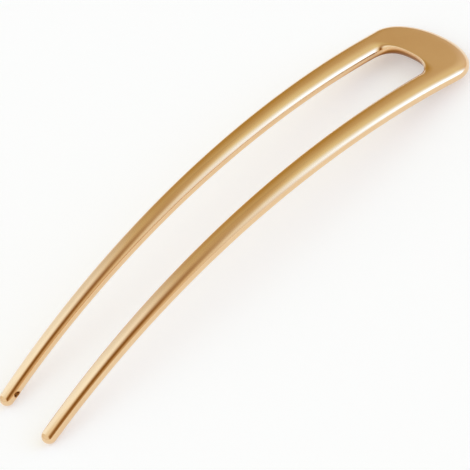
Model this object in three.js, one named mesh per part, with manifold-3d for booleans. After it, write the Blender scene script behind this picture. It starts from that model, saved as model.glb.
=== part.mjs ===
// U-shaped hair pin: a flat, flared head (the bow) that runs into two long tapering prongs.
// The pin is one casting with a shallow arch, so that it follows the curve of a bun.
// The two prongs spring in the plane of the sheet, and each one's bending is gathered in a
// flexure a short way below the bow, where its group turns about its own Z axis.
//
// Millimetres, +Z up, +X from the head to the tips, +Y to the left. The pin lies on the head's
// end and both tips with its arch upwards, and its origin is below the middle of its box.
//
// The shape is laid out in a flat sheet: s runs from the head's end towards the tips, y across,
// and h through the thickness. The sheet is then bent over the arch.

import * as THREE from "three";
import { mergeVertices } from "three/addons/utils/BufferGeometryUtils.js";
import Module from "manifold-3d";

// Overall form
const PIN_LENGTH = 150; // along the sheet, from the head's end to the tips
const THICKNESS = 4;
const ARCH_RADIUS = 222; // of the middle of the sheet
const PAD_LENGTH = 14; // flat part of the head, before the arch starts

// Head
const HEAD_WIDTH = 32.1; // over both shoulders
const SHOULDER_DEPTH = 10; // from the head's end to its widest place
const HEAD_SQUARENESS = 2.1; // 2 is an ellipse, more is squarer
const HEAD_DEPTH = 12.1; // metal between the head's end and the slot
const EDGE_MARGIN = 3.8; // width of the rolled edge round the head
const EDGE_SQUARENESS = 2.4;

// Slot between the prongs
const SLOT_WIDTH = 16.6; // where the prongs leave the head
const SLOT_END_DEPTH = 5.5; // length of its rounded end
const SLOT_SQUARENESS = 2.6;

// Lip across the slot's end, bevelled from below so that hair slides in under it
const LIP_RISE = 1.4; // of its foremost line above the middle of the sheet
const LIP_ROLL = 0.6; // width of the rolled edge above that line
const LIP_BEVEL = 5.5; // width of the bevel below it

// Prong tips
const TIP_SPACING = 18.7; // between the middles of the two tips
const TIP_DIAMETER = 3.8;
const TIP_SQUARENESS = 2; // round

// Dimple beside the right prong's tip
const DIMPLE_DIAMETER = 1.6;
const DIMPLE_DEPTH = 0.9;
const DIMPLE_SETBACK = 4.2; // from the tip's end
const DIMPLE_LIFT = -8; // degrees up from the side that faces the other prong

// Flexures
const FLEX_DISTANCE = 36; // from the head's end to both flexures
const FLEX_GAP = 0.3; // between the bow and a prong

// Facets
const EDGE_STEPS = 6; // on each quarter of a section
const CORNER_STEPS = 22; // from the head's middle to a prong's root
const STUB_STEPS = 4; // from a prong's root to its flexure
const PRONG_STEPS = 18;
const TIP_STEPS = 5;

// The largest share of a section's width that one rolled edge takes. The rest is a narrow land.
const MARGIN_SHARE = 0.47;

const halfThickness = THICKNESS / 2;
const tipRadius = TIP_DIAMETER / 2;
const tipCentre = PIN_LENGTH - tipRadius;
const prongRoot = HEAD_DEPTH + SLOT_END_DEPTH;

const metal = { color: 0xc19356, metalness: 1, roughness: 0.35 };

// One side of an outline in the flat sheet: a rounded end on the pin's axis, a quarter of a
// superellipse, that runs on as a straight side as far as `end`. The half width follows one taper
// all the way, so that the two stretches meet without a kink.
class TaperedSide extends THREE.Curve {
  constructor({ start, depth, squareness, rootHalf, tipHalf, end }) {
    super();
    Object.assign(this, { start, depth, squareness, rootHalf, tipHalf, end });
  }

  halfWidth(s) {
    const root = this.start + this.depth;
    const share = (s - root) / (tipCentre - root);
    return THREE.MathUtils.lerp(this.rootHalf, this.tipHalf, share);
  }

  getPoint(t, target = new THREE.Vector2()) {
    const angle = (Math.min(2 * t, 1) * Math.PI) / 2;
    const power = 2 / this.squareness;
    const straight = Math.max(2 * t - 1, 0) * (this.end - this.start - this.depth);
    const s = this.start + this.depth * (1 - Math.cos(angle) ** power) + straight;
    return target.set(s, this.halfWidth(s) * Math.sin(angle) ** power);
  }
}

const outerSide = new TaperedSide({
  start: 0,
  depth: SHOULDER_DEPTH,
  squareness: HEAD_SQUARENESS,
  rootHalf: HEAD_WIDTH / 2,
  tipHalf: TIP_SPACING / 2 + tipRadius,
  end: prongRoot,
});

const innerSide = new TaperedSide({
  start: HEAD_DEPTH,
  depth: SLOT_END_DEPTH,
  squareness: SLOT_SQUARENESS,
  rootHalf: SLOT_WIDTH / 2,
  tipHalf: TIP_SPACING / 2 - tipRadius,
  end: prongRoot,
});

// Place on the bent sheet with the head's pad level: straight as far as the pad goes, then round
// the arch, which falls away towards the tips.
function bend(s, y, h) {
  const turn = Math.max(s - PAD_LENGTH, 0) / ARCH_RADIUS;
  const reach = ARCH_RADIUS + h;
  return new THREE.Vector3(
    Math.min(s, PAD_LENGTH) + reach * Math.sin(turn),
    y,
    reach * Math.cos(turn) - ARCH_RADIUS,
  );
}

// How much the section's corners are filled at s: the rolled edge at the root, round at the tip.
function squarenessAt(s) {
  const share = THREE.MathUtils.clamp((s - prongRoot) / (tipCentre - prongRoot), 0, 1);
  return THREE.MathUtils.lerp(EDGE_SQUARENESS, TIP_SQUARENESS, share);
}

// Half the thickness at s, which runs from the sheet's to the tip's.
function halfThicknessAt(s) {
  const share = THREE.MathUtils.clamp((s - prongRoot) / (tipCentre - prongRoot), 0, 1);
  return THREE.MathUtils.lerp(halfThickness, tipRadius, share);
}

// Closed ring of a section from an inner to an outer point of the outline. An edge is two quarters
// of superellipses, a roll above its foremost line and a bevel below it, each with its own width,
// and the line may rise above the middle. A flat land joins the two edges above and below.
function sectionRing({ inner, outer, innerEdge, outerEdge, shrink = 1 }) {
  const across = outer.clone().sub(inner);
  const width = across.length();
  const middle = inner.clone().add(outer).multiplyScalar(0.5);
  across.normalize();
  const ring = [];
  const place = (edge, sign, step) => {
    const s = middle.x;
    const power = 2 / squarenessAt(s);
    const angle = (step / EDGE_STEPS) * (Math.PI / 2);
    const face = Math.sign(step) * halfThicknessAt(s);
    const margin = step < 0 ? edge.bevel : edge.roll;
    const inset = margin * (1 - Math.cos(angle) ** power);
    const offset = sign * (width / 2 - inset) * shrink;
    const h = THREE.MathUtils.lerp(edge.rise, face, Math.abs(Math.sin(angle)) ** power) * shrink;
    const at = middle.clone().addScaledVector(across, offset);
    ring.push(bend(at.x, at.y, h));
  };
  for (let step = 0; step <= EDGE_STEPS; step++) place(outerEdge, 1, step);
  for (let step = EDGE_STEPS; step >= 0; step--) place(innerEdge, -1, step);
  for (let step = -1; step >= -EDGE_STEPS; step--) place(innerEdge, -1, step);
  for (let step = -EDGE_STEPS; step < 0; step++) place(outerEdge, 1, step);
  return ring;
}

// Closed skin over a row of rings, from a cap on the first to a cap on the last. A cap is a fan
// round its own middle point.
function loft(rings, firstPole, lastPole) {
  const count = rings[0].length;
  const points = [...rings.flat(), firstPole, lastPole];
  const firstIndex = rings.length * count;
  const lastIndex = firstIndex + 1;
  const lastRing = firstIndex - count;
  const indices = [];
  for (let j = 0; j < count; j++) {
    const next = (j + 1) % count;
    indices.push(firstIndex, next, j);
    for (let low = 0; low < lastRing; low += count) {
      const high = low + count;
      indices.push(low + j, low + next, high + j);
      indices.push(low + next, high + next, high + j);
    }
    indices.push(lastIndex, lastRing + j, lastRing + next);
  }
  const geometry = new THREE.BufferGeometry().setFromPoints(points);
  geometry.setIndex(indices);
  return geometry;
}

function ringMiddle(ring) {
  const sum = ring.reduce((total, point) => total.add(point), new THREE.Vector3());
  return sum.divideScalar(ring.length);
}

// The way an outline runs at its i-th point.
function outlineDirection(points, i) {
  const ahead = points[Math.min(i + 1, points.length - 1)];
  const behind = points[Math.max(i - 1, 0)];
  return ahead.clone().sub(behind).normalize();
}

// An edge that is as wide above its foremost line as below it.
function evenEdge(margin) {
  return { roll: margin, bevel: margin, rise: 0 };
}

// The section between two matching points of the outlines. A margin is set square to its outline,
// and a section that meets the outline at a slant takes more of it. The lip is whole where the
// slot's edge runs across the pin, and fades out as the edge turns along a prong.
function outlineSection(inners, outers, i) {
  const across = outers[i].clone().sub(inners[i]);
  const limit = MARGIN_SHARE * across.length();
  across.normalize();
  const innerAlong = outlineDirection(inners, i);
  const outerAlong = outlineDirection(outers, i);
  const slanted = (margin, along) => Math.min(margin / Math.abs(across.cross(along)), limit);
  const lip = innerAlong.y ** 2;
  return {
    inner: inners[i],
    outer: outers[i],
    innerEdge: {
      roll: slanted(THREE.MathUtils.lerp(EDGE_MARGIN, LIP_ROLL, lip), innerAlong),
      bevel: slanted(THREE.MathUtils.lerp(EDGE_MARGIN, LIP_BEVEL, lip), innerAlong),
      rise: LIP_RISE * lip,
    },
    outerEdge: evenEdge(slanted(EDGE_MARGIN, outerAlong)),
  };
}

// The square section of a prong at s.
function prongSection(s, shrink = 1) {
  const inner = new THREE.Vector2(s, innerSide.halfWidth(s));
  const outer = new THREE.Vector2(s, outerSide.halfWidth(s));
  const edge = evenEdge(Math.min(EDGE_MARGIN, MARGIN_SHARE * (outer.y - inner.y)));
  return { inner, outer, innerEdge: edge, outerEdge: edge, shrink };
}

function steps(from, to, count) {
  return Array.from({ length: count + 1 }, (_, i) => from + ((to - from) * i) / count);
}

// The same ring on the other side of the pin, in the same order round the section.
function mirrored(ring) {
  return ring.map((point) => new THREE.Vector3(point.x, -point.y, point.z));
}

// Head, slot end and both stubs: one sweep round the U, from the right stub to the left one.
function makeBow() {
  const inners = innerSide.getSpacedPoints(CORNER_STEPS);
  const outers = outerSide.getSpacedPoints(CORNER_STEPS);
  const corner = inners.map((_, i) => sectionRing(outlineSection(inners, outers, i)));
  const stubEnd = FLEX_DISTANCE - FLEX_GAP / 2;
  const stub = steps(prongRoot, stubEnd, STUB_STEPS).slice(1);
  const half = [...corner, ...stub.map((s) => sectionRing(prongSection(s)))];
  const rings = [...half.slice(1).reverse().map(mirrored), ...half];
  const last = rings.at(-1);
  return loft(rings, ringMiddle(rings[0]), ringMiddle(last));
}

// Left prong from its flexure to its round tip.
function makeProng() {
  const start = FLEX_DISTANCE + FLEX_GAP / 2;
  const shaft = steps(start, tipCentre, PRONG_STEPS).map((s) => sectionRing(prongSection(s)));
  const tip = [];
  for (let i = 1; i < TIP_STEPS; i++) {
    const angle = (i / TIP_STEPS) * (Math.PI / 2);
    tip.push(sectionRing(prongSection(tipCentre + tipRadius * Math.sin(angle), Math.cos(angle))));
  }
  const end = bend(PIN_LENGTH, TIP_SPACING / 2, 0);
  return loft([...shaft, ...tip], ringMiddle(shaft[0]), end);
}

const wasm = await Module();
wasm.setup();

function toSolid(geometry) {
  const bare = geometry.clone();
  bare.deleteAttribute("normal");
  bare.deleteAttribute("uv");
  const merged = mergeVertices(bare);
  const vertProperties = merged.attributes.position.array;
  const triVerts = new Uint32Array(merged.index.array);
  return new wasm.Manifold(new wasm.Mesh({ numProp: 3, vertProperties, triVerts }));
}

function toGeometry(solid) {
  const { vertProperties, triVerts } = solid.getMesh();
  const geometry = new THREE.BufferGeometry();
  geometry.setAttribute("position", new THREE.BufferAttribute(vertProperties, 3));
  geometry.setIndex(new THREE.BufferAttribute(triVerts, 1));
  return geometry;
}

// Ball that leaves a round dimple of the stated width and depth in the right prong's side.
function makeDimpleBall() {
  const radius = (DIMPLE_DIAMETER ** 2 / 4 + DIMPLE_DEPTH ** 2) / (2 * DIMPLE_DEPTH);
  const s = PIN_LENGTH - DIMPLE_SETBACK;
  const lift = THREE.MathUtils.degToRad(DIMPLE_LIFT);
  const distance = tipRadius - DIMPLE_DEPTH + radius;
  const ball = new THREE.SphereGeometry(radius, 20, 12);
  const middle = (innerSide.halfWidth(s) + outerSide.halfWidth(s)) / 2;
  const centre = bend(s, distance * Math.cos(lift) - middle, distance * Math.sin(lift));
  return ball.translate(centre.x, centre.y, centre.z);
}

function mirrorGeometry(geometry) {
  const copy = geometry.clone().scale(1, -1, 1);
  const index = copy.index.array;
  for (let i = 0; i < index.length; i += 3) {
    [index[i + 1], index[i + 2]] = [index[i + 2], index[i + 1]];
  }
  return copy;
}

// The flexure's own frame on the sheet: origin in the prong's middle, Z through the thickness.
function flexureFrame(side) {
  const s = FLEX_DISTANCE;
  const middle = (innerSide.halfWidth(s) + outerSide.halfWidth(s)) / 2;
  const turn = (s - PAD_LENGTH) / ARCH_RADIUS;
  const frame = new THREE.Matrix4().makeRotationY(turn);
  return frame.setPosition(bend(s, side * middle, 0));
}

function makeMesh(name, geometry) {
  const mesh = new THREE.Mesh(geometry, new THREE.MeshStandardMaterial(metal));
  mesh.name = name;
  geometry.computeVertexNormals();
  return mesh;
}

// A prong in the frame of its flexure, so that turning the group about its Z bends the prong.
function placeProng(name, geometry, side) {
  const frame = flexureFrame(side);
  const group = new THREE.Group();
  group.name = `${name}_flexure`;
  group.applyMatrix4(frame);
  group.add(makeMesh(name, geometry.clone().applyMatrix4(frame.invert())));
  return group;
}

// Angle that lays the pin on a table. The table's line touches the rolled edge of the head's end
// and both round tips, and the reach of each towards the table is its support in that direction.
function restAngle() {
  const tip = bend(tipCentre, 0, 0);
  const margin = Math.min(EDGE_MARGIN, MARGIN_SHARE * HEAD_DEPTH);
  const run = tip.x - margin;
  const dual = EDGE_SQUARENESS / (EDGE_SQUARENESS - 1);
  let angle = Math.atan2(-tip.z, run);
  for (let pass = 0; pass < 6; pass++) {
    const along = (margin * Math.sin(angle)) ** dual;
    const down = (halfThickness * Math.cos(angle)) ** dual;
    const reach = (along + down) ** (1 / dual);
    angle = Math.atan2(-tip.z, run) + Math.asin((tipRadius - reach) / Math.hypot(run, tip.z));
  }
  return angle;
}

const prong = makeProng();
const dimpled = toGeometry(toSolid(mirrorGeometry(prong)).subtract(toSolid(makeDimpleBall())));

const arch = new THREE.Group();
arch.add(makeMesh("bow", makeBow()));
arch.add(placeProng("left_prong", prong, 1));
arch.add(placeProng("right_prong", dimpled, -1));
arch.rotation.y = -restAngle();

const hairPin = new THREE.Group();
hairPin.name = "hair_pin";
hairPin.add(arch);
hairPin.updateMatrixWorld(true);
const box = new THREE.Box3().setFromObject(hairPin, true);
const middle = box.getCenter(new THREE.Vector3());
arch.position.set(-middle.x, -middle.y, -box.min.z);
hairPin.updateMatrixWorld(true);

export default hairPin;
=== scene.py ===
# A U-shaped hair pin: one arched casting with a flat, flared head and two long prongs.
# The bow comes first, then the two prongs that run on from it, then the floor, light and camera.
# Lengths are in millimetres up to the mesh, which is in metres in the CAD model's frame.

import bpy
import numpy as np
from mathutils import Matrix


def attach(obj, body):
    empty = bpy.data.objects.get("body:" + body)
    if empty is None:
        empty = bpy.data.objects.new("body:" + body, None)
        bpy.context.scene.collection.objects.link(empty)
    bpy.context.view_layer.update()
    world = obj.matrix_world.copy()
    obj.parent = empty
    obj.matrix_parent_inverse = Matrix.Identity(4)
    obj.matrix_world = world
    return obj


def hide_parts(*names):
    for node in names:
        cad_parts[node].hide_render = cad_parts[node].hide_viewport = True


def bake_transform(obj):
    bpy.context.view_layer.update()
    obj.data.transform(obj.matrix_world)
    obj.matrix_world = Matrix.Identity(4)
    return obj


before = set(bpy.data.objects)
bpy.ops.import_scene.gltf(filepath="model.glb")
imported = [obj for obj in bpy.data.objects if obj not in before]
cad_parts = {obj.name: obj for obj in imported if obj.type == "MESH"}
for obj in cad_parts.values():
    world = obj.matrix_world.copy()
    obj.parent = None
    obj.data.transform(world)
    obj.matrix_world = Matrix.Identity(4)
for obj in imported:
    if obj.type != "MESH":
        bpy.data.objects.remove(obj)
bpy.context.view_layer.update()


# The bow: the flat, flared head with its round-ended slot, and the first stretch of both prongs.
# It is zinc alloy under satin gold plating, cast in one with the prongs, and tumbling has rolled
# its edges over. Its end lies on the table, and the sheet it is laid out in arches up from there.

MM = 0.001
PIN_LENGTH = 150  # along the sheet, from the head's end to the tips
THICKNESS = 4
ARCH_RADIUS = 222
PAD_LENGTH = 14  # flat part of the head, before the arch starts
HEAD_WIDTH = 32.1
SHOULDER_DEPTH = 10  # from the head's end to its widest place
HEAD_SQUARENESS = 2.1  # 2 is an ellipse, more is squarer
HEAD_DEPTH = 12.1  # metal between the head's end and the slot
EDGE_MARGIN = 3.8  # width of the rolled edge
EDGE_SQUARENESS = 2.4
EDGE_SHARE = 0.49  # the most of a section's width that one rolled edge takes
SLOT_WIDTH = 16.6
SLOT_END_DEPTH = 5.5
SLOT_SQUARENESS = 2.6
LIP_RISE = 1.7  # of the slot end's foremost line above the middle of the sheet
LIP_ROLL = 0.35  # width of the rolled edge above that line
LIP_BEVEL = 5.5  # width of the bevel below it
TIP_SPACING = 18.7
TIP_DIAMETER = 3.8
TIP_SQUARENESS = 2
FLEX_DISTANCE = 36  # from the head's end to where the bow's skin ends and a prong's begins
REST_TILT = 0.2778771  # radians, of the flat pad, with the pin on its head's end and both tips
HEAD_END = np.array([-73.66158, 0, 1.248578])  # the middle of the head's end

TIP_RADIUS = TIP_DIAMETER / 2
TIP_CENTRE = PIN_LENGTH - TIP_RADIUS
PRONG_ROOT = HEAD_DEPTH + SLOT_END_DEPTH

QUARTER_POINTS = 28  # on each quarter of a section
CORNER_STATIONS = 110  # from the head's middle to a prong's root
STUB_STATIONS = 30
OUTLINE_STEPS = 4000  # along an outline, before its points are spaced evenly


def outer_half(s):
    """Half the pin's width: a straight line from the shoulders to the tips' outsides."""
    tip_half = TIP_SPACING / 2 + TIP_RADIUS
    share = (s - SHOULDER_DEPTH) / (TIP_CENTRE - SHOULDER_DEPTH)
    return HEAD_WIDTH / 2 + share * (tip_half - HEAD_WIDTH / 2)


def slot_half(s):
    """Half the slot's width: a straight line from the prongs' roots to the tips' insides."""
    tip_half = TIP_SPACING / 2 - TIP_RADIUS
    share = (s - PRONG_ROOT) / (TIP_CENTRE - PRONG_ROOT)
    return SLOT_WIDTH / 2 + share * (tip_half - SLOT_WIDTH / 2)


def round_end(start, depth, squareness, half):
    """One side of an outline, from the pin's axis to a prong's root, as evenly spaced (s, y).
    The end is a quarter of a superellipse, s = start + depth (1 - cos^(2/n) a) and
    y = half width times sin^(2/n) a, and a straight side follows it."""
    t = np.linspace(0, 1, OUTLINE_STEPS + 1)
    a = np.minimum(2 * t, 1) * np.pi / 2
    straight = np.maximum(2 * t - 1, 0) * (PRONG_ROOT - start - depth)
    s = start + depth * (1 - np.abs(np.cos(a)) ** (2 / squareness)) + straight
    y = half(s) * np.sin(a) ** (2 / squareness)
    run = np.append(0, np.cumsum(np.hypot(np.diff(s), np.diff(y))))
    even = np.linspace(0, run[-1], CORNER_STATIONS + 1)
    return np.stack([np.interp(even, run, s), np.interp(even, run, y)], 1)


def outline_way(line):
    """The way that an outline runs at each of its points, one unit long."""
    along = np.gradient(line, axis=0)
    return along / np.linalg.norm(along, axis=1)[:, None]


def slanted(margin, along, across, width):
    """An edge's width along a section that meets its outline at a slant: the margin divided by
    the sine of the angle between them, and never more than a share of the width."""
    sine = np.abs(across[:, 0] * along[:, 1] - across[:, 1] * along[:, 0])
    return np.minimum(margin / sine, EDGE_SHARE * width)


def even_edge(margin):
    """An edge as wide above its foremost line as below it, with the line in the middle."""
    return margin, margin, np.zeros_like(margin)


def rings(inner, outer, inner_edge, outer_edge, shrink):
    """One closed ring per station between an inner and an outer outline point. An edge is three
    rows: the widths of its roll above and of its bevel below the foremost line, and that line's
    rise. With a running up or down from the line, a point lies width (1 - cos^(2/n) a) in from
    the outline and sin^(2/n) a of the way to the face. n falls to 2, a circle, at the tips.
    Returns s, y, h and the distance across from the ring's middle."""
    quarter = np.linspace(0, np.pi / 2, QUARTER_POINTS + 1)
    a = np.concatenate([quarter, quarter[::-1], -quarter[1:], -quarter[::-1][:-1]])
    q = QUARTER_POINTS
    side = np.repeat([1.0, -1.0, 1.0], [q + 1, 2 * q + 1, q])
    across = outer - inner
    width = np.linalg.norm(across, axis=1)
    across = across / width[:, None]
    middle = (inner + outer) / 2
    share = np.clip((middle[:, 0] - PRONG_ROOT) / (TIP_CENTRE - PRONG_ROOT), 0, 1)[:, None]
    power = 2 / (EDGE_SQUARENESS + share * (TIP_SQUARENESS - EDGE_SQUARENESS))
    half_thickness = THICKNESS / 2 + share * (TIP_RADIUS - THICKNESS / 2)
    edges = np.where(side > 0, np.stack(outer_edge)[..., None], np.stack(inner_edge)[..., None])
    roll, bevel, rise = edges
    inset = np.where(a < 0, bevel, roll) * (1 - np.cos(a) ** power)
    off = side * (width[:, None] / 2 - inset) * shrink[:, None]
    face = np.sign(a) * half_thickness
    h = (rise + (face - rise) * np.abs(np.sin(a)) ** power) * shrink[:, None]
    s = middle[:, :1] + across[:, :1] * off
    y = middle[:, 1:] + across[:, 1:] * off
    return s, y, h, off


def prong_rings(s, shrink):
    """Rings square across one prong at the distances s from the head's end."""
    inner = np.stack([s, slot_half(s)], 1)
    outer = np.stack([s, outer_half(s)], 1)
    edge = even_edge(np.minimum(EDGE_MARGIN, EDGE_SHARE * (outer[:, 1] - inner[:, 1])))
    return rings(inner, outer, edge, edge, shrink)


def arch(s, y, h):
    """Sheet points in the frame, in metres: flat as far as the pad goes, then carried round the
    arch, x = pad + (R + h) sin t and z = (R + h) cos t - R, and tipped up by the resting tilt."""
    turn = np.maximum(s - PAD_LENGTH, 0) / ARCH_RADIUS
    x = np.minimum(s, PAD_LENGTH) + (ARCH_RADIUS + h) * np.sin(turn)
    z = (ARCH_RADIUS + h) * np.cos(turn) - ARCH_RADIUS
    c, k = np.cos(REST_TILT), np.sin(REST_TILT)
    return (np.stack([c * x - k * z, y, k * x + c * z], -1) + HEAD_END) * MM


def sweep_grain(run, off, h):
    """Where each ring point lies in the bar if it were drawn out straight: along it, across and
    up, in metres. The plating's grain follows these round the head."""
    return np.stack([np.broadcast_to(run[:, None], off.shape), off, h], -1) * MM


def smooth_step(value, start, end):
    """0 at start, 1 at end, and 3 t^2 - 2 t^3 between them."""
    t = np.clip((value - start) / (end - start), 0, 1)
    return t * t * (3 - 2 * t)


def closed_skin(name, points, grain, dull, pole=False):
    """A closed mesh over a grid of rings: quads from ring to ring, a flat face on the first ring,
    and a flat face or a fan of triangles to one pole on the last. Each point keeps its place in
    the grain and how much shade is painted on it."""
    rows, columns = points.shape[:2]
    index = np.arange(rows * columns).reshape(rows, columns)
    near, far = index[:-1], index[1:]
    quads = np.stack([near, np.roll(near, -1, 1), np.roll(far, -1, 1), far], -1).reshape(-1, 4)
    vertices = points.reshape(-1, 3)
    drawn = grain.reshape(-1, 3)
    painted_shade_amount = dull.ravel()
    faces = quads.tolist() + [index[0, ::-1].tolist()]
    if pole:
        fan = np.stack([index[-1], np.roll(index[-1], -1), np.full(columns, rows * columns)], -1)
        faces += fan.tolist()
        vertices = np.vstack([vertices, points[-1].mean(0)])
        drawn = np.vstack([drawn, grain[-1].mean(0)])
        painted_shade_amount = np.append(painted_shade_amount, dull[-1].mean())
    else:
        faces += [index[-1].tolist()]
    mesh = bpy.data.meshes.new(name)
    mesh.from_pydata(vertices.tolist(), [], faces)
    mesh.shade_smooth()
    ends = np.empty(2 * len(mesh.edges), np.int32)
    mesh.edges.foreach_get("vertices", ends)
    ends = ends.reshape(-1, 2)
    sharp = (ends < columns).all(1)
    if not pole:
        sharp |= (ends >= (rows - 1) * columns).all(1)
    mesh.attributes.new("sharp_edge", "BOOLEAN", "EDGE").data.foreach_set("value", sharp)
    mesh.attributes.new("grain", "FLOAT_VECTOR", "POINT").data.foreach_set("vector", drawn.ravel())
    mesh.attributes.new("dull", "FLOAT", "POINT").data.foreach_set("value", painted_shade_amount)
    piece = bpy.data.objects.new(name, mesh)
    bpy.context.scene.collection.objects.link(piece)
    return piece


class Shade:
    """A node's output socket, or a bare node tree to start from. Sums, differences and products
    of sockets and numbers add Math nodes to the tree."""

    def __init__(self, tree, socket=None):
        self.tree = tree
        self.socket = socket

    def node(self, kind, settings=(), inputs=(), out=0):
        """Adds a node: first its settings, with a ramp's stops as (place, colour) pairs, then the
        values or links of its sockets."""
        made = self.tree.nodes.new(kind)
        for key, value in dict(settings).items():
            if key == "stops":
                elements = made.color_ramp.elements
                while len(elements) < len(value):
                    elements.new(1)
                for element, (place, colour) in zip(elements, value):
                    element.position = place
                    element.color = (*colour, 1)
            else:
                setattr(made, key, value)
        for key, value in dict(inputs).items():
            if isinstance(value, Shade):
                self.tree.links.new(value.socket, made.inputs[key])
            else:
                made.inputs[key].default_value = value
        return Shade(self.tree, made.outputs[out] if len(made.outputs) else None)

    def maths(self, operation, first, second):
        """A Math node on two sockets or numbers."""
        return self.node("ShaderNodeMath", {"operation": operation}, {0: first, 1: second})

    def blend(self, share, first, second):
        """The first colour where share is 0 and the second where it is 1. The Mix node takes
        its two colours in sockets 6 and 7."""
        inputs = {"Factor": share, 6: first, 7: second}
        return self.node("ShaderNodeMix", {"data_type": "RGBA"}, inputs, out=2)

    def __add__(self, other):
        return self.maths("ADD", self, other)

    def __radd__(self, other):
        return self.maths("ADD", other, self)

    def __sub__(self, other):
        return self.maths("SUBTRACT", self, other)

    def __rsub__(self, other):
        return self.maths("SUBTRACT", other, self)

    def __mul__(self, other):
        return self.maths("MULTIPLY", self, other)

    def __rmul__(self, other):
        return self.maths("MULTIPLY", other, self)


GOLD = (0.85, 0.59, 0.325)
DEEP_GOLD = (0.83, 0.563, 0.302)  # where the plating is thicker
CLOUD_RANGE = (0.35, 0.65)  # of the cloud noise, from deep gold to gold
CLOUD_SCALE = 140  # per metre, as are the next two
LINE_SCALE = 5200
PEBBLE_SCALE = 1400
LINE_STRETCH = 20  # a satin line's length over its width
PAINTED_SHADE_COPPER = (0.74, 0.38, 0.132)  # painted shade at its lightest, where it starts
PAINTED_SHADE_BROWN = (0.32, 0.126, 0.023)  # painted shade at its darkest
PAINTED_SHADE_COPPER_UP_TO = 0.3  # painted shade amount up to which it is copper
PAINTED_SHADE_GAIN = 2.5  # how fast the gold gives way to the painted shade's colour
SATIN_ROUGHNESS = 0.13
ROUGHNESS_SPREAD = 0.08
PAINTED_SHADE_ROUGHNESS = 0.2  # added where shade is painted
COAT_ROUGHNESS = 0.06
RELIEF_STRENGTH = 0.12
RELIEF_HEIGHT = 0.02
RELIEF_LINES = 0.6  # share of the satin lines in it, and the pebbles are the rest

gold_plating = bpy.data.materials.new("satin_gold_plating")
gold_plating.use_nodes = True
gold_plating.node_tree.nodes.clear()
shade = Shade(gold_plating.node_tree)
drawn_place = shade.node("ShaderNodeAttribute", {"attribute_name": "grain"}, out="Vector")
# Broad clouds of plating thickness, a few millimetres across.
clouds = shade.node(
    "ShaderNodeTexNoise", {}, {"Vector": drawn_place, "Scale": CLOUD_SCALE, "Detail": 2}, out="Fac"
)
# Fine satin lines that run lengthwise.
line_place = shade.node(
    "ShaderNodeVectorMath", {"operation": "MULTIPLY"}, {0: drawn_place, 1: (1 / LINE_STRETCH, 1, 1)}
)
lines = shade.node(
    "ShaderNodeTexNoise", {}, {"Vector": line_place, "Scale": LINE_SCALE, "Detail": 3}, out="Fac"
)
# The casting's own skin, faintly pebbled under the plating.
pebbles = shade.node(
    "ShaderNodeTexNoise", {}, {"Vector": drawn_place, "Scale": PEBBLE_SCALE, "Detail": 2}, out="Fac"
)
plating_colour = shade.node(
    "ShaderNodeValToRGB", {"stops": list(zip(CLOUD_RANGE, (DEEP_GOLD, GOLD)))}, {"Fac": clouds}
)
# Painted shade: copper to brown on the slot end's wall and in the dimple, in place of the shadowed
# table that they reflect. The same amount adds roughness and takes the coat off.
painted_shade_amount = shade.node("ShaderNodeAttribute", {"attribute_name": "dull"}, out="Fac")
painted_shade_colour = shade.node(
    "ShaderNodeValToRGB", {"stops": [(PAINTED_SHADE_COPPER_UP_TO, PAINTED_SHADE_COPPER), (1, PAINTED_SHADE_BROWN)]}, {"Fac": painted_shade_amount}
)
painted_shade_share = shade.maths("MINIMUM", PAINTED_SHADE_GAIN * painted_shade_amount, 1)
# From here the plating's colour has the painted shade blended in.
plating_colour = shade.blend(painted_shade_share, plating_colour, painted_shade_colour)
roughness = SATIN_ROUGHNESS + ROUGHNESS_SPREAD * (0.5 * lines + 0.5 * clouds - 0.5)
roughness = roughness + PAINTED_SHADE_ROUGHNESS * painted_shade_amount
relief = shade.node(
    "ShaderNodeBump",
    {},
    {
        "Strength": RELIEF_STRENGTH,
        "Distance": RELIEF_HEIGHT * MM,
        "Height": RELIEF_LINES * lines + (1 - RELIEF_LINES) * pebbles,
    },
)
gold_surface = shade.node(
    "ShaderNodeBsdfPrincipled",
    {},
    {
        "Base Color": plating_colour,
        "Metallic": 1.0,
        "Roughness": roughness,
        "Normal": relief,
        # No coat where shade is painted, so that its white reflection does not lighten the painted
        # shade.
        "Coat Weight": 1 - painted_shade_amount,
        "Coat Roughness": COAT_ROUGHNESS,
    },
)
shade.node("ShaderNodeOutputMaterial", {}, {"Surface": gold_surface})

# The head is swept from its middle to a prong's root between the slot's and the head's outlines,
# and on along the prong's first stretch. The other half is the same in mirror image. The slot's
# end has a lip, bevelled from below, which fades out as the slot's edge turns along a prong.
slot_line = round_end(HEAD_DEPTH, SLOT_END_DEPTH, SLOT_SQUARENESS, slot_half)
head_line = round_end(0, SHOULDER_DEPTH, HEAD_SQUARENESS, outer_half)
head_across = head_line - slot_line
head_width = np.linalg.norm(head_across, axis=1)
head_across /= head_width[:, None]
slot_way = outline_way(slot_line)
lip = slot_way[:, 1] ** 2
roll_margin = EDGE_MARGIN + lip * (LIP_ROLL - EDGE_MARGIN)
bevel_margin = EDGE_MARGIN + lip * (LIP_BEVEL - EDGE_MARGIN)
slot_edge = (
    slanted(roll_margin, slot_way, head_across, head_width),
    slanted(bevel_margin, slot_way, head_across, head_width),
    LIP_RISE * lip,
)
head_edge = even_edge(slanted(EDGE_MARGIN, outline_way(head_line), head_across, head_width))
corner = rings(slot_line, head_line, slot_edge, head_edge, np.ones(CORNER_STATIONS + 1))
stub_s = np.linspace(PRONG_ROOT, FLEX_DISTANCE, STUB_STATIONS + 1)[1:]
stub = prong_rings(stub_s, np.ones(STUB_STATIONS))
bow_s, bow_y, bow_h, bow_off = [np.vstack(pair) for pair in zip(corner, stub)]
head_middle = (slot_line + head_line) / 2
head_steps = np.linalg.norm(np.diff(head_middle, axis=0), axis=1)
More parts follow.
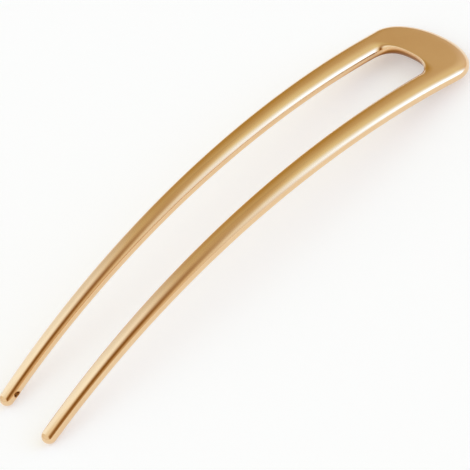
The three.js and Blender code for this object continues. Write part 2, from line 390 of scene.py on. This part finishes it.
root_run = head_steps.sum()  # from the head's middle to a prong's root
bow_run = np.concatenate([[0], np.cumsum(head_steps), root_run + stub_s - PRONG_ROOT])

# Below its foremost line, shade is painted on the slot's wall, in place of the shadowed table it
# reflects, and less the farther along a prong.
PAINTED_SHADE_FALL = 1  # below that line, where the painted shade on the wall is whole
bow_lip = np.append(lip, np.zeros(STUB_STATIONS))[:, None]
fall = LIP_RISE * bow_lip - bow_h
near_slot_end = smooth_step(bow_s, FLEX_DISTANCE, PRONG_ROOT)
half_painted_shade = smooth_step(fall, 0, PAINTED_SHADE_FALL) * (bow_off < 0) * near_slot_end

half_points = arch(bow_s, bow_y, bow_h)
half_grain = sweep_grain(bow_run, bow_off, bow_h)
bow_points = np.vstack([half_points[:0:-1] * [1, -1, 1], half_points])
bow_grain = np.vstack([half_grain[:0:-1] * [-1, 1, 1], half_grain])
bow_painted_shade = np.vstack([half_painted_shade[:0:-1], half_painted_shade])
bow = closed_skin("bow_skin", bow_points, bow_grain, bow_painted_shade)
bow.data.materials.append(gold_plating)
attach(bow, "bow")
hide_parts("bow")


# The left prong: a long taper from the head's thickness to a round tip, on the +Y side.
# It runs on from the bow in the same metal and plating, and springs sideways from the bow.
# Its skin starts on the bow's last ring.

PRONG_STATIONS = 190
NEAR_TIP_LENGTH = 6  # before the tip's round end, with closer stations for a dimple there
NEAR_TIP_STATIONS = 120
TIP_STATIONS = 24
SPRING_STRETCH = 24  # length between the two spring points on a prong's middle line

near_tip_start = TIP_CENTRE - NEAR_TIP_LENGTH
run_s = np.linspace(FLEX_DISTANCE, near_tip_start, PRONG_STATIONS + 1)
near_tip_s = np.linspace(near_tip_start, TIP_CENTRE, NEAR_TIP_STATIONS + 1)[1:]
tip_angle = np.linspace(0, np.pi / 2, TIP_STATIONS + 1)[1:-1]
prong_s = np.concatenate([run_s, near_tip_s, TIP_CENTRE + TIP_RADIUS * np.sin(tip_angle)])
prong_shrink = np.concatenate([np.ones(len(run_s) + len(near_tip_s)), np.cos(tip_angle)])
ring_s, ring_y, ring_h, ring_off = prong_rings(prong_s, prong_shrink)
prong_grain = sweep_grain(root_run + prong_s - PRONG_ROOT, ring_off, ring_h)


def spring_ends(side):
    """The points on a prong's middle line at the flex distance and a spring stretch on from it. They
    are worked out but not used, and the skin does not turn.
    """
    s = np.array([FLEX_DISTANCE, FLEX_DISTANCE + SPRING_STRETCH])
    y = side * (outer_half(s) + slot_half(s)) / 2
    start, end = arch(s, y, np.zeros(2))
    return {"start": start.tolist(), "end": end.tolist()}


left_points = arch(ring_s, ring_y, ring_h)
left_prong = closed_skin("left_prong_skin", left_points, prong_grain, 0 * ring_s, pole=True)
left_prong.data.materials.append(gold_plating)
spring_ends(1)
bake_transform(left_prong)
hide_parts("left_prong")


# The right prong: the left prong's mirror image on the -Y side, in the same casting and plating.
# A small round dimple is pressed into it beside the tip, on the side that faces the other prong.

DIMPLE_RADIUS = 0.8
DIMPLE_DEPTH = 0.9
DIMPLE_SETBACK = 4.2  # from the tip's end
DIMPLE_LIFT = np.radians(-8)  # up from the side that faces the other prong
DIMPLE_POWER = 4  # 2 is a round bowl, more is flatter in the middle
PIT_SHADE_WALL = (1.4, 0.75)  # shares of the radius where the painted shade starts and is whole
PIT_SHADE_FLOOR = (0.5, 0.15)  # and where it starts to ease off again and has done so
PIT_SHADE_FLOOR_EASE = 0.6  # of the painted shade that is lost there

dimple_s = PIN_LENGTH - DIMPLE_SETBACK
dimple_out = np.array([-np.cos(DIMPLE_LIFT), np.sin(DIMPLE_LIFT)])  # across and up, out of the metal
dimple_reach = (outer_half(dimple_s) - slot_half(dimple_s)) / 2
from_dimple = np.stack([ring_off, ring_h], -1) - dimple_reach * dimple_out
aside = from_dimple @ np.array([dimple_out[1], -dimple_out[0]])
share = np.hypot(ring_s - dimple_s, aside) / DIMPLE_RADIUS
facing = np.stack([ring_off, ring_h], -1) @ dimple_out > 0
# The dimple's bowl: as deep as one less a power of the share of its radius.
sink = DIMPLE_DEPTH * np.clip(1 - share**DIMPLE_POWER, 0, 1) * facing
dimpled_y = ring_y - sink * dimple_out[0]
dimpled_h = ring_h - sink * dimple_out[1]

# Shade is painted on its wall, and less on its floor.
pit_shade_ease = PIT_SHADE_FLOOR_EASE * smooth_step(share, *PIT_SHADE_FLOOR)
pit_painted_shade = smooth_step(share, *PIT_SHADE_WALL) * (1 - pit_shade_ease) * facing

right_points = arch(ring_s, -dimpled_y, dimpled_h)[:, ::-1]
right_grain = (prong_grain * [-1, 1, 1])[:, ::-1]
right_painted_shade = pit_painted_shade[:, ::-1]
right_prong = closed_skin("right_prong_skin", right_points, right_grain, right_painted_shade, pole=True)
right_prong.data.materials.append(gold_plating)
spring_ends(-1)
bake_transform(right_prong)
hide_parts("right_prong")


# The floor: a plain white table top that the pin lies on, as wide as any view needs.
# Seen by the camera or in a reflection it is lit up to white, and it keeps the pin's soft shadow.

FLOOR_HALF = 6  # metres
FLOOR_ALBEDO = (0.75, 0.745, 0.725)  # a plain pale white
FLOOR_LIFT = 0.36  # added to it where it is seen

floor_mesh = bpy.data.meshes.new("floor")
floor_corners = np.array([[-1, -1, 0], [1, -1, 0], [1, 1, 0], [-1, 1, 0]]) * FLOOR_HALF
floor_mesh.from_pydata(floor_corners.tolist(), [], [[0, 1, 2, 3]])
floor = bpy.data.objects.new("floor", floor_mesh)
bpy.context.scene.collection.objects.link(floor)
table_top = bpy.data.materials.new("white_table_top")
table_top.use_nodes = True
table_top.node_tree.nodes.clear()
shade = Shade(table_top.node_tree)
seen_directly = shade.node("ShaderNodeLightPath", out="Is Camera Ray")
seen_in_gloss = shade.node("ShaderNodeLightPath", out="Is Glossy Ray")
seen_through = shade.node("ShaderNodeLightPath", out="Is Transmission Ray")
matt = shade.node("ShaderNodeBsdfDiffuse", {}, {"Color": (*FLOOR_ALBEDO, 1)})
lift = shade.node("ShaderNodeEmission", {}, {"Strength": FLOOR_LIFT})
lifted = shade.node("ShaderNodeAddShader", {}, {0: matt, 1: lift})
seen = shade.maths("MAXIMUM", shade.maths("MAXIMUM", seen_directly, seen_in_gloss), seen_through)
table_surface = shade.node("ShaderNodeMixShader", {}, {0: seen, 1: matt, 2: lifted})
shade.node("ShaderNodeOutputMaterial", {}, {"Surface": table_surface})
floor_mesh.materials.append(table_top)


# The light: a pale cloth tent round the pin, with a bright soft box beside the head and a tall
# one across from the camera. The tent's far side is a warm tan, and a dark gap with a warm rim
# is left for the lens.

TENT_LOW = (0.76, 0.65, 0.54)
TENT_HIGH = (0.86, 0.865, 0.635)
BACK_FADE = 0.1  # cosine over which a zone is cut off from the opposite side of the tent
# Each zone: azimuth, elevation and turn in degrees, half width, half height, softness, colour.
TENT_ZONES = [
    (10, 35, 0, 0.80, 0.60, 0.60, (0.95, 0.945, 0.917)),  # pale cloth beyond the tips
    (134, 10, 0, 0.35, 0.58, 0.90, (1.38, 2.08, 3.57)),  # bright box beside the head
    (-78, 33, -16, 0.24, 1.47, 0.35, (1.23, 1.46, 1.75)),  # tall box across from the camera
    (-115, 16, -11, 0.40, 0.65, 0.95, (0.465, 0.302, 0.0775)),  # warm far side
    (73, 30, -6, 0.25, 0.90, 0.90, (0.87, 0.67, 0.405)),  # the lens gap's warm rim
    (73, 38, -6, 0.20, 0.86, 0.90, (0.24, 0.1, 0.0065)),  # the gap itself
]

tent = bpy.data.worlds.new("light_tent")
bpy.context.scene.world = tent
tent.use_nodes = True
tent.node_tree.nodes.clear()
shade = Shade(tent.node_tree)
toward = shade.node("ShaderNodeTexCoord", out="Generated")


def dot(direction):
    """The cosine between the way a ray goes and a direction."""
    inputs = {0: toward, 1: direction.tolist()}
    return shade.node("ShaderNodeVectorMath", {"operation": "DOT_PRODUCT"}, inputs, out="Value")


def fade(value, start, end):
    """0 at start, 1 at end, and a smooth step between them."""
    inputs = {"Value": value, "From Min": start, "From Max": end}
    return shade.node("ShaderNodeMapRange", {"interpolation_type": "SMOOTHSTEP"}, inputs)


def oval_zone(azimuth, elevation, turn, half_width, half_height, softness):
    """1 inside an oval on the tent and 0 outside: with p and q the distances sideways and up
    from its middle in its half sizes, a smooth step over the root of p squared plus q squared."""
    a, e, t = np.radians([azimuth, elevation, turn])
    middle = np.array([np.cos(a) * np.cos(e), np.sin(a) * np.cos(e), np.sin(e)])
    level = np.array([-np.sin(a), np.cos(a), 0])
    sideways = np.cos(t) * level + np.sin(t) * np.cross(middle, level)
    up = np.cross(middle, sideways)
    p = dot(sideways / half_width)
    q = dot(up / half_height)
    distance = shade.maths("POWER", p * p + q * q, 0.5)
    on_this_side = fade(dot(middle), -BACK_FADE, BACK_FADE)
    return fade(distance, 1 + softness, 1 - softness) * on_this_side


height = fade(dot(np.array([0, 0, 1.0])), 0, 1)
tent_colour = shade.blend(height, (*TENT_LOW, 1), (*TENT_HIGH, 1))
for *place, zone_colour in TENT_ZONES:
    tent_colour = shade.blend(oval_zone(*place), tent_colour, (*zone_colour, 1))
tent_light = shade.node("ShaderNodeBackground", {}, {"Color": tent_colour, "Strength": 1})
shade.node("ShaderNodeOutputWorld", {}, {"Surface": tent_light})


# The camera: a long lens above and beyond the left prong, rolled so that the pin runs from the
# upper right of the picture down to the lower left.

CAMERA_AIM = np.array([4.772, 3.577, 3.788])
CAMERA_DIRECTION = np.array([0.258955, 0.669269, 0.696434])
CAMERA_DISTANCE = 421.79
CAMERA_ROLL = np.radians(-27.329)
LENS = 131.014
SENSOR = 36

level_right = np.cross([0, 0, 1], CAMERA_DIRECTION)
level_right /= np.linalg.norm(level_right)
level_up = np.cross(CAMERA_DIRECTION, level_right)
camera_right = np.cos(CAMERA_ROLL) * level_right + np.sin(CAMERA_ROLL) * level_up
camera_up = np.cross(CAMERA_DIRECTION, camera_right)
camera_place = (CAMERA_AIM + CAMERA_DISTANCE * CAMERA_DIRECTION) * MM
camera_data = bpy.data.cameras.new("camera")
camera_data.lens = LENS
camera_data.sensor_width = SENSOR
camera = bpy.data.objects.new("camera", camera_data)
camera_axes = np.stack([camera_right, camera_up, CAMERA_DIRECTION, camera_place], 1)
camera.matrix_world = Matrix(np.vstack([camera_axes, [0, 0, 0, 1]]).tolist())
bpy.context.scene.collection.objects.link(camera)
bpy.context.scene.camera = camera
bpy.context.scene.view_settings.view_transform = "Standard"
